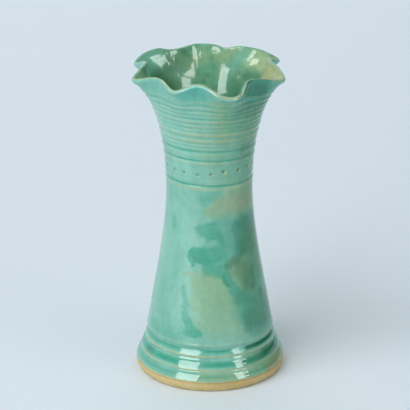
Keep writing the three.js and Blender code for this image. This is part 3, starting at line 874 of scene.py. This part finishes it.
class Tree:
    """A node tree with short ways to add nodes. A value may be a socket or a plain number."""

    def __init__(self, tree):
        self.tree = tree

    def add(self, kind, inputs=(), **settings):
        node = self.tree.nodes.new(kind)
        for name, value in settings.items():
            setattr(node, name, value)
        for key, value in dict(inputs).items():
            self.put(node.inputs[key], value)
        return node

    def put(self, socket, value):
        if isinstance(value, bpy.types.NodeSocket):
            self.tree.links.new(value, socket)
        elif socket.type == "RGBA" and len(value) == 3:
            socket.default_value = (*value, 1)
        else:
            socket.default_value = value

    def math(self, operation, first, *others):
        for other in others:
            first = self.add("ShaderNodeMath", {0: first, 1: other}, operation=operation).outputs[0]
        return first

    def times(self, *values):
        return self.math("MULTIPLY", *values)

    def plus(self, *values):
        return self.math("ADD", *values)

    def minus(self, *values):
        return self.math("SUBTRACT", *values)

    def most(self, *values):
        return self.math("MAXIMUM", *values)

    def apart(self, vector):
        return self.add("ShaderNodeSeparateXYZ", {0: vector}).outputs

    def mix(self, factor, first, second, blend="MIX"):
        inputs = {0: factor, 6: first, 7: second}
        node = self.add("ShaderNodeMix", inputs, data_type="RGBA", blend_type=blend, clamp_factor=True)
        return node.outputs[2]

    def shaded(self, tone, grey):
        """The tone, lighter or darker by a factor."""
        shade = self.add("ShaderNodeCombineColor", {0: grey, 1: grey, 2: grey}).outputs[0]
        return self.mix(1.0, tone, shade, "MULTIPLY")

    def ramp(self, value, low, high, to_low=0.0, to_high=1.0):
        """A soft step from one value to another while the input goes from low to high, either way round."""
        inputs = dict(enumerate((value, low, high, to_low, to_high)))
        return self.add("ShaderNodeMapRange", inputs, interpolation_type="SMOOTHSTEP").outputs[0]

    def noise(self, point, scale, detail, roughness, distortion=0.0):
        inputs = {"Vector": point, "Scale": scale, "Detail": detail, "Roughness": roughness}
        return self.add("ShaderNodeTexNoise", {**inputs, "Distortion": distortion}).outputs[0]

    def stretched(self, point, scale):
        inputs = {"Vector": point, "Scale": scale}
        return self.add("ShaderNodeMapping", inputs, vector_type="POINT").outputs[0]

    def attribute(self, name, output="Fac"):
        node = self.add("ShaderNodeAttribute", attribute_name=name, attribute_type="GEOMETRY")
        return node.outputs[output]

    def group(self, group, **inputs):
        return self.add("ShaderNodeGroup", spaced(inputs), node_tree=group()).outputs


def node_group(name, outputs, **inputs):
    """Makes a node group of a function, which gets a tree and the group's inputs and returns its outputs.

    The group is made the first time that it is asked for. An input is given by its value, or by its kind
    where it is always linked, and an underscore in its name stands for a space.
    """
    def wrap(fill):
        def made():
            if name in bpy.data.node_groups:
                return bpy.data.node_groups[name]
            tree = bpy.data.node_groups.new(name, "ShaderNodeTree")
            for label, default in spaced(inputs).items():
                kind = {float: "Float", tuple: "Vector"}.get(type(default), default)
                kind_name = "NodeSocket" + kind
                socket = tree.interface.new_socket(name=label, in_out="INPUT", socket_type=kind_name)
                if kind != default:
                    socket.default_value = default
            for label in outputs:
                kind = "Color" if label == "Color" else "Float"
                tree.interface.new_socket(name=label, in_out="OUTPUT", socket_type="NodeSocket" + kind)
            t = Tree(tree)
            given = t.add("NodeGroupInput").outputs[:len(inputs)]
            for end, value in zip(t.add("NodeGroupOutput").inputs, fill(t, *given)):
                t.put(end, value)
            return tree

        return made

    return wrap


@node_group("Brushed coat", ["Mask"], Field="Vector", Ragged_edge=0.0)
def brushed_coat(t, field, ragged):
    """Where a brushed coat lies, from its field: distance inside its edge, softness and strength."""
    inside, soft, strength = t.apart(field)
    share = t.ramp(t.plus(inside, ragged), t.times(soft, -1.0), soft)
    return [t.times(share, strength)]


@node_group("Ragged edge", ["Ragged edge"], Position="Vector", Push=7.5, Fine_push=4.5)
def ragged_edge(t, position, push, fine_push):
    """How far a coat's edge is pushed in or out, in millimetres, so that it runs ragged."""
    wide = t.minus(t.noise(position, 85.0, 2.0, 0.5), 0.5)
    fine = t.minus(t.noise(position, 330.0, 3.0, 0.6), 0.5)
    return [t.plus(t.times(wide, push), t.times(fine, fine_push))]


@node_group(
    "Glaze mottling", ["Clouds", "Mottles", "Runs"], Position="Vector", Cloud_scale=26.0, Seed=(0, 0, 0)
)
def mottling(t, position, scale, seed):
    """Clouds, fine mottling and downward runs of a melted glaze."""
    place = t.add("ShaderNodeVectorMath", {0: position, 1: seed}, operation="ADD").outputs[0]
    return [
        t.noise(place, scale, 3.0, 0.5, 0.4),
        t.noise(place, 190.0, 3.0, 0.55),
        t.noise(t.stretched(place, (1, 1, 0.16)), 210.0, 2.0, 0.5, 0.3),
    ]


@node_group("Scattered specks", ["Specks"], Position="Vector", Density=160.0, Share=0.12, Radius=0.09)
def scattered_specks(t, position, density, share, radius):
    """Scattered round specks, each smaller than its cell."""
    cells = t.add("ShaderNodeTexVoronoi", {"Vector": position, "Scale": density})
    chance = t.add("ShaderNodeSeparateColor", {0: cells.outputs["Color"]}).outputs[0]
    kept = t.math("LESS_THAN", chance, share)
    size = t.times(radius, t.plus(0.5, t.math("DIVIDE", chance, share)))
    return [t.times(kept, t.ramp(cells.outputs["Distance"], t.times(size, 0.6), size, 1.0, 0.0))]


@node_group(
    "Glaze skin", ["Height"], Position="Vector", Dimpling=0.00004, Turning_lines=0.00003, Pinholes=0.0001
)
def glaze_skin(t, position, dimpling, turning, pinholes):
    """Heights of a melted glaze skin in metres: slow dimpling, faint turning lines and pinholes."""
    slow = t.times(t.noise(position, 90.0, 1.0, 0.5), dimpling)
    lines = t.noise(t.stretched(position, (6, 6, 260)), 1.0, 3.0, 0.65)
    holes = t.group(scattered_specks, Position=position, Density=230.0, Share=0.05, Radius=0.1)[0]
    return [t.minus(t.plus(slow, t.times(lines, turning)), t.times(holes, pinholes))]


@node_group(
    "Breaking glaze", ["Color"], Middling="Color", Thick="Color", Pooled="Color", Thin="Color",
    Broken="Color", Burnt="Color", Thick_mask=0.0, Thin_mask=0.0, Pool_mask=0.0, Break_mask=0.0,
    Burn_mask=0.0, Mottles=0.5, Runs=0.5,
)
def breaking_glaze(
    t, tone, thick, pooled, thin, broken, burnt, is_thick, is_thin, is_pooled, is_broken, is_burnt, mottles,
    runs,
):
    """Colour of a breaking glaze: deep where it pools, straw where thin, cream and rust over edges."""
    for mask, other in (
        (is_thin, thin), (is_thick, thick), (is_broken, broken), (is_pooled, pooled), (is_burnt, burnt),
    ):
        tone = t.mix(mask, tone, other)
    grey = t.plus(t.ramp(mottles, 0.3, 0.7, 0.96, 1.04), t.ramp(runs, 0.35, 0.65, -0.03, 0.03))
    return [t.shaded(tone, grey)]


@node_group(
    "Liner tones", ["Color"], Position="Vector", Upper="Color", Lower="Color", Bloom="Color", Thick="Color",
    Bloom_mask=0.0, Shade_mask=0.0,
)
def liner_tones(t, position, upper, lower, bloom, thick, is_bloom, is_thick):
    """The liner's own tones: lighter with straw blooms near the lip, deeper below."""
    clouds, mottles, _ = t.group(mottling, Position=position, Cloud_scale=24.0, Seed=(0.5, 0.2, 0.1))
    height = t.apart(position)[2]
    rings = t.noise(t.stretched(position, (5, 5, 170)), 1.0, 2.0, 0.5)
    tone = t.mix(t.ramp(height, 0.262, 0.215), upper, lower)
    tone = t.mix(t.ramp(rings, 0.45, 0.68, 0.0, 0.18), tone, bloom)
    tone = t.mix(t.ramp(mottles, 0.38, 0.66, 0.0, 0.35), tone, lower)
    blooms = t.times(t.ramp(clouds, 0.52, 0.62, 0.0, 0.3), t.ramp(height, 0.238, 0.262))
    tone = t.mix(t.most(blooms, is_bloom), tone, bloom)
    pools = t.times(t.ramp(clouds, 0.46, 0.38, 0.0, 0.6), t.ramp(height, 0.235, 0.262))
    return [t.mix(t.most(pools, is_thick), tone, thick)]


# ---- Materials ----

def new_material(name):
    material = bpy.data.materials.new(name)
    material.use_nodes = True
    material.node_tree.nodes.clear()
    t = Tree(material.node_tree)
    shader = t.add("ShaderNodeBsdfPrincipled")
    t.add("ShaderNodeOutputMaterial", {"Surface": shader.outputs[0]})
    position = t.add("ShaderNodeTexCoord").outputs["Object"]
    return material, t, shader, position


def set_surface(t, shader, tone, roughness, height=None):
    """Gives a shader its colour and roughness, and a fine relief from heights in metres."""
    t.put(shader.inputs["Base Color"], tone)
    t.put(shader.inputs["Roughness"], roughness)
    if height:
        fine = t.add("ShaderNodeBump", {"Height": height, "Distance": 1.0, "Strength": 1.0})
        t.put(shader.inputs["Normal"], fine.outputs[0])


def brushed(t, name, ragged, streaks=1.0):
    field = t.attribute(name, "Vector")
    return t.times(t.group(brushed_coat, Field=field, Ragged_edge=ragged)[0], streaks)


def liner_tone(t, position, ragged, c):
    tone = t.group(
        liner_tones, Position=position, Upper=c.liner, Lower=c.liner_deep, Bloom=c.bloom, Thick=c.shade,
        Bloom_mask=brushed(t, "bloom", ragged), Shade_mask=brushed(t, "shade", ragged),
    )[0]
    tone = t.mix(brushed(t, "liner_aqua", ragged), tone, c.aqua)
    return t.mix(brushed(t, "liner_cream", ragged), tone, c.cream)


def outer_glaze_material(c):
    material, t, shader, position = new_material("outer_glaze_breaking")
    right, back, up = t.apart(position)
    clouds, mottles, runs = t.group(mottling, Position=position)
    dot = t.attribute("dot")
    depth = t.attribute("glaze_depth")
    edge = t.attribute("lip_edge")
    # Brushed edges run ragged, and less so on the foot.
    ragged = t.group(ragged_edge, Position=position)[0]
    ragged = t.times(ragged, t.ramp(up, 0.036, 0.046, 0.15, 1.0))
    washed = t.ramp(t.noise(position, 75.0, 3.0, 0.6, 0.6), 0.35, 0.62, 0.78, 1.0)
    # The dots' marks are stronger on the right of the vase, where the key light grazes them: their pools are
    # partly painted shade and their crescents partly a painted highlight.
    lit = t.ramp(right, -0.004, 0.01, 0.35, 1.0)

    # Where clouds take the place of strokes: the back of the body.
    body = t.ramp(up, 0.05, 0.075, 0.0, t.ramp(up, 0.16, 0.19, 1.0, 0.0))
    behind = t.times(t.minus(1.0, t.ramp(back, -0.012, 0.018, 1.0, 0.0)), body)
    cloud = t.group(mottling, Position=position, Cloud_scale=17.0, Seed=(0.31, 0.12, 0.07))[0]

    # Thick: teal strokes, clouds and shallow pools.
    thick = t.most(
        brushed(t, "teal", ragged, washed), t.times(behind, t.ramp(cloud, 0.55, 0.62, 0.0, 0.8)),
        t.times(t.ramp(depth, 0.1, 1.0), t.ramp(clouds, 0.35, 0.6, 0.6, 1.0)),
    )
    # Thin: straw strokes and clouds.
    thin = t.most(
        brushed(t, "straw", ragged, t.ramp(washed, 0.78, 1.0, 1.0, 0.88)),
        t.times(behind, t.ramp(cloud, 0.42, 0.34, 0.0, 0.85)),
    )
    # Pooled: dark strokes and the pressed dots.
    pooled = t.most(
        brushed(t, "dark", t.times(ragged, 0.5), washed),
        t.times(t.ramp(dot, 0.15, 0.8, 0.0, 0.75), t.ramp(lit, 0.35, 1.0, 0.6, 1.0)),
    )
    # Broken: crests, the lip's edge and the dots' crescents, which are partly a painted highlight.
    broken = t.most(
        t.times(t.ramp(depth, -0.15, -1.0), t.ramp(clouds, 0.4, 0.62, 0.85, 0.5)),
        t.ramp(edge, 0.3, 0.85, 0.0, 0.8),
        t.times(t.ramp(t.attribute("dot_crescent"), 0.15, 0.6, 0.0, 0.9), lit),
    )
    # Burnt: rust on the lip's edge, in the dots, at the glaze line and low on the foot.
    rust = brushed(t, "rust", ragged)
    burnt = t.most(
        t.times(t.ramp(edge, 0.5, 0.95, 0.0, 0.9), rust), t.times(t.ramp(dot, 0.5, 1.0, 0.0, 0.35), lit),
        t.ramp(up, 0.0092, 0.0098, 0.35, 0.0), t.times(rust, t.ramp(up, 0.02, 0.03, 0.45, 0.0)),
    )

    crown = t.times(t.ramp(t.attribute("lip_crown"), 0.25, 0.8), t.ramp(mottles, 0.35, 0.6, 0.5, 0.9))
    middling = t.mix(t.ramp(clouds, 0.42, 0.62, 0.0, 0.6), c.aqua, c.pale)
    # The pale strokes hold a painted reflection down the left of the body as well as thinner glaze.
    for mask, tone in (
        (brushed(t, "pale", ragged), c.pale), (brushed(t, "blue", ragged), c.blue),
        (t.attribute("inside"), liner_tone(t, position, ragged, c)), (crown, c.pale),
    ):
        middling = t.mix(mask, middling, tone)
    tone = t.group(
        breaking_glaze, Middling=middling, Thick=c.teal, Pooled=c.deep,
        Thin=t.mix(brushed(t, "tan", ragged), c.straw, c.tan), Broken=c.cream, Burnt=c.rust, Thick_mask=thick,
        Thin_mask=thin, Pool_mask=pooled, Break_mask=broken, Burn_mask=burnt, Mottles=mottles, Runs=runs,
    )[0]
    tone = t.mix(brushed(t, "olive", ragged), tone, c.olive)
    specks = t.group(scattered_specks, Position=position, Density=130.0, Share=0.06, Radius=0.07)[0]
    tone = t.mix(t.times(specks, 0.75), tone, c.deep)
    skin = t.group(glaze_skin, Position=position)[0]
    set_surface(t, shader, tone, t.ramp(mottles, 0.3, 0.7, 0.05, 0.1), skin)
    shader.inputs["IOR"].default_value = 1.55
    return material


def inner_glaze_material(c):
    material, t, shader, position = new_material("inner_glaze_liner")
    ragged = t.group(ragged_edge, Position=position)[0]
    mottles, runs = t.group(mottling, Position=position)[1:]
    tone = t.group(
        breaking_glaze, Middling=liner_tone(t, position, ragged, c), Thick=c.teal, Pooled=c.deep,
        Thin=c.straw, Broken=c.cream, Burnt=c.rust, Mottles=mottles, Runs=runs,
    )[0]
    skin = t.group(glaze_skin, Position=position, Dimpling=0.0003)[0]
    set_surface(t, shader, tone, t.ramp(mottles, 0.3, 0.7, 0.06, 0.12), skin)
    shader.inputs["IOR"].default_value = 1.52
    return material


def clay_material(c):
    material, t, shader, position = new_material("bare_buff_clay")
    clouds = t.noise(position, 45.0, 3.0, 0.55)
    grain = t.noise(position, 900.0, 3.0, 0.6)
    turning = t.noise(t.stretched(position, (8, 8, 700)), 1.0, 3.0, 0.6)
    toasted = t.times(t.ramp(t.apart(position)[2], 0.0068, 0.0092), t.ramp(clouds, 0.35, 0.6, 0.5, 1.0))
    base = t.mix(t.ramp(clouds, 0.35, 0.65, 0.0, 0.35), c.buff, c.toast)
    base = t.shaded(t.mix(toasted, base, c.toast), t.ramp(grain, 0.3, 0.7, 0.88, 1.08))
    specks = t.group(scattered_specks, Position=position, Density=500.0, Share=0.08, Radius=0.2)[0]
    base = t.mix(t.times(specks, 0.5), base, tint(120, 84, 50))
    relief = t.plus(t.times(grain, 0.00008), t.times(turning, 0.00012))
    set_surface(t, shader, base, t.ramp(clouds, 0.3, 0.7, 0.7, 0.88), relief)
    return material


def floor_material(light):
    material, t, shader, position = new_material("paper_floor")
    fibres = t.noise(position, 260.0, 3.0, 0.6)
    base = t.mix(t.ramp(fibres, 0.3, 0.7, 0.0, 0.02), light.floor_tint, tint(200, 208, 214))
    set_surface(t, shader, base, t.ramp(fibres, 0.3, 0.7, 0.6, 0.66))
    return material


def cloth_material():
    material, t, shader, position = new_material("flag_cloth")
    weave = t.noise(position, 300.0, 2.0, 0.5)
    tone = t.mix(weave, tint(24, 24, 26), tint(40, 40, 42))
    set_surface(t, shader, tone, t.ramp(weave, 0.3, 0.7, 0.9, 1.0))
    shader.inputs["Specular IOR Level"].default_value = 0.1
    return material


# ---- Stage ----

# The paper sweep: its depth, how many times wider it is, the height of its back and its bend, in metres.
SWEEP_DEPTH, SWEEP_STRETCH, SWEEP_HEIGHT, SWEEP_BEND = 6, 2.4, 4, 1.2

# The middle of the vase, which far lights face, and how far off the far cards stand, in metres.
MIDDLE = (0, 0, 0.14)
FAR = 1.6

# Softboxes seen only in the gloss: name, degrees round from the camera and up, width and height.
FAR_CARDS = (
    ("left_softbox", -36, 18, (0.97, 1.1)), ("right_softbox", 47.5, 18, (0.36, 1.1)),
    ("right_lower_strip", 57, 4, (0.16, 0.14)), ("left_top_card", -44, 66, (0.3, 0.36)),
    ("left_brow_card", -43, 57.5, (0.15, 0.14)),
)
# Small ones near the vase, with their distance and the place they face.
NEAR_CARDS = (
    ("right_upper_strip", 59.2, 38.5, (0.105, 0.05), 0.5, (0.045, -0.045, 0.03)),
    ("right_middle_strip", 58.6, 26.5, (0.082, 0.063), 0.5, (0.045, -0.045, 0.03)),
    ("mouth_card_middle", -1.5, 40.5, (0.03, 0.03), 0.17, (0.004, 0.057, 0.268)),
    ("mouth_card_right", 48, 41, (0.085, 0.036), 0.17, (-0.014, 0.055, 0.268)),
    ("mouth_card_side", 79, 45, (0.024, 0.018), 0.17, (-0.045, 0.033, 0.267)),
    ("mouth_card_left", -84, 50, (0.06, 0.026), 0.17, (0.05, 0.025, 0.262)),
)
# Broad lights that the gloss doesn't show: name, degrees round and up, distance, width and height, the
# setting that holds the watts, colour and the place they face.
BROAD_LIGHTS = (
    ("left_key", -47, 42, 4.0, (3.4, 3.4), "left_key", (1, 1, 1), MIDDLE),
    ("right_fill", 58, 36, 4.0, (2.4, 2.4), "right_key", (1.0, 0.94, 0.62), MIDDLE),
    ("back_wash", 0, 90, 1.5, (2.4, 1.0), "back_wash", (1, 1, 1), (0, 1.7, 0)),
)
# Black flags seen only in the gloss: name, degrees round and up, distance, size and the place they face.
FLAGS = (
    ("black_flag", 118, 0, 1.3, 1.5, (0, 0, 0.75)),
    ("mouth_flag_left", 50, 19, 0.05, 0.021, (-0.036, 0.043, 0.257)),
    ("mouth_flag_back", -43, 30, 0.05, 0.018, (0.0235, 0.052, 0.262)),
)

# The light down into the mouth: height and radius in metres, its cone in degrees, and how soft its edge is.
SNOOT_HEIGHT, SNOOT_RADIUS, SNOOT_CONE, SNOOT_BLEND = 1.3, 0.01, 5, 0.6

# The camera: its distance from what it looks at in metres, and its turn about its line of sight in degrees.
CAMERA_DISTANCE = 1.8165
CAMERA_TARGET = (-0.0038, 0, 0.14844)
CAMERA_ROLL = -0.28


def facing(azimuth, elevation, distance, target):
    """Where a card stands, in degrees round from the camera and up from its target, and its turn to it."""
    turn, lift = math.radians(azimuth), math.radians(elevation)
    away = Vector((math.sin(turn) * math.cos(lift), -math.cos(turn) * math.cos(lift), math.sin(lift)))
    return {"location": Vector(target) + away * distance, "rotation": away.to_track_quat("Z", "Y").to_euler()}


def softbox(name, azimuth, elevation, distance, size, power, target):
    bpy.ops.object.light_add(type="AREA", **facing(azimuth, elevation, distance, target))
    lamp = named(name)
    lamp.data.shape = "RECTANGLE"
    lamp.data.size, lamp.data.size_y = size
    lamp.data.energy = power
    return lamp


def select_back_edge(mesh):
    for edge in mesh.edges:
        ends = [mesh.vertices[index].co for index in edge.vertices]
        edge.select = all(end.y > 0.4 * SWEEP_DEPTH and end.z < 0.01 for end in ends)


def lay_paper(light):
    """A plane drawn wide, with its back edge drawn up and the fold bent round."""
    bpy.ops.object.select_all(action="DESELECT")
    bpy.ops.mesh.primitive_plane_add(size=SWEEP_DEPTH, location=(0, 0, 0))
    sweep = named("paper_sweep")
    with edit_mode():
        bpy.ops.transform.resize(value=(SWEEP_STRETCH, 1, 1), center_override=(0, 0, 0))
        bpy.ops.mesh.select_all(action="DESELECT")
    select_back_edge(sweep.data)
    with edit_mode():
        bpy.ops.mesh.extrude_region_move(TRANSFORM_OT_translate={"value": (0, 0, SWEEP_HEIGHT)})
    select_back_edge(sweep.data)
    with edit_mode():
        bpy.ops.mesh.bevel(offset=SWEEP_BEND, segments=16)
    bpy.ops.object.shade_smooth()
    sweep.data.materials.append(floor_material(light))


def hang_lights(light):
    """Softboxes seen only in the gloss, broad lights not seen in it, and one down into the mouth."""
    cards = [card + (FAR, MIDDLE) for card in FAR_CARDS] + [*NEAR_CARDS]
    for name, azimuth, elevation, size, distance, target in cards:
        card = softbox(name, azimuth, elevation, distance, size, light.gloss * size[0] * size[1], target)
        card.visible_diffuse = card.visible_camera = False
    for name, azimuth, elevation, distance, size, watts, tone, target in BROAD_LIGHTS:
        lamp = softbox(name, azimuth, elevation, distance, size, getattr(light, watts), target)
        lamp.data.color = tone
        lamp.visible_glossy = False
    bpy.ops.object.light_add(type="SPOT", location=(0, 0, SNOOT_HEIGHT))
    snoot = named("mouth_snoot")
    snoot.data.energy = light.mouth
    snoot.data.spot_size = math.radians(SNOOT_CONE)
    snoot.data.spot_blend = SNOOT_BLEND
    snoot.data.shadow_soft_size = SNOOT_RADIUS
    snoot.visible_glossy = False


def hang_flags():
    cloth = cloth_material()
    for name, azimuth, elevation, distance, size, target in FLAGS:
        bpy.ops.mesh.primitive_plane_add(size=size, **facing(azimuth, elevation, distance, target))
        flag = named(name)
        flag.data.materials.append(cloth)
        flag.visible_diffuse = flag.visible_shadow = flag.visible_camera = False


def light_room(light):
    world = bpy.data.worlds.new("room")
    world.use_nodes = True
    background = world.node_tree.nodes["Background"]
    background.inputs["Color"].default_value = (*light.room_tint, 1)
    background.inputs["Strength"].default_value = light.room
    bpy.context.scene.world = world


def set_camera(light):
    away = Vector((0, -math.cos(light.tilt), math.sin(light.tilt)))
    bpy.ops.object.camera_add(location=Vector(CAMERA_TARGET) + away * CAMERA_DISTANCE)
    camera = named("photo_camera")
    roll = Matrix.Rotation(math.radians(CAMERA_ROLL), 3, "Z")
    camera.rotation_euler = (Euler((math.pi / 2 - light.tilt, 0, 0)).to_matrix() @ roll).to_euler()
    camera.data.lens = light.focal_length
    camera.data.sensor_width = 36
    camera.data.clip_end = 30
    bpy.context.scene.camera = camera


class VASE_OT_set_stage(bpy.types.Operator):
    """Lays a paper sweep under and behind the vase, and sets the lights, black flags and the camera"""

    bl_idname = "vase.set_stage"
    bl_label = "Set the stage"

    def execute(self, context):
        light = context.scene.vase_light
        lay_paper(light)
        hang_lights(light)
        hang_flags()
        light_room(light)
        set_camera(light)
        context.scene.view_settings.view_transform = "Standard"
        return {"FINISHED"}


# ---- Add-on ----

MAKERS = (VASE_OT_throw_clay, VASE_OT_coat_outside, VASE_OT_coat_inside, VASE_OT_set_stage)
SETTINGS = {
    "vase_shape": VaseShape, "vase_marks": ThrowingMarks, "vase_colours": GlazeColours,
    "vase_light": StudioLight,
}


class VASE_PT_maker(bpy.types.Panel):
    bl_label = "Ruffled pottery vase"
    bl_space_type = "VIEW_3D"
    bl_region_type = "UI"
    bl_category = "Vase"

    def draw(self, context):
        for group in SETTINGS:
            settings = getattr(context.scene, group)
            box = self.layout.box()
            for name in settings.bl_rna.properties.keys():
                if name not in ("rna_type", "name"):
                    box.prop(settings, name)
        for operator in MAKERS:
            self.layout.operator(operator.bl_idname)


CLASSES = (*SETTINGS.values(), *MAKERS, VASE_PT_maker)


def register():
    for one in CLASSES:
        bpy.utils.register_class(one)
    for name, group in SETTINGS.items():
        setattr(bpy.types.Scene, name, bpy.props.PointerProperty(type=group))


def unregister():
    for name in SETTINGS:
        delattr(bpy.types.Scene, name)
    for one in reversed(CLASSES):
        bpy.utils.unregister_class(one)


def main():
    register()
    bpy.ops.vase.throw_clay()
    bpy.ops.vase.coat_outside()
    bpy.ops.vase.coat_inside()
    bpy.ops.vase.set_stage()


if __name__ == "__main__":
    main()
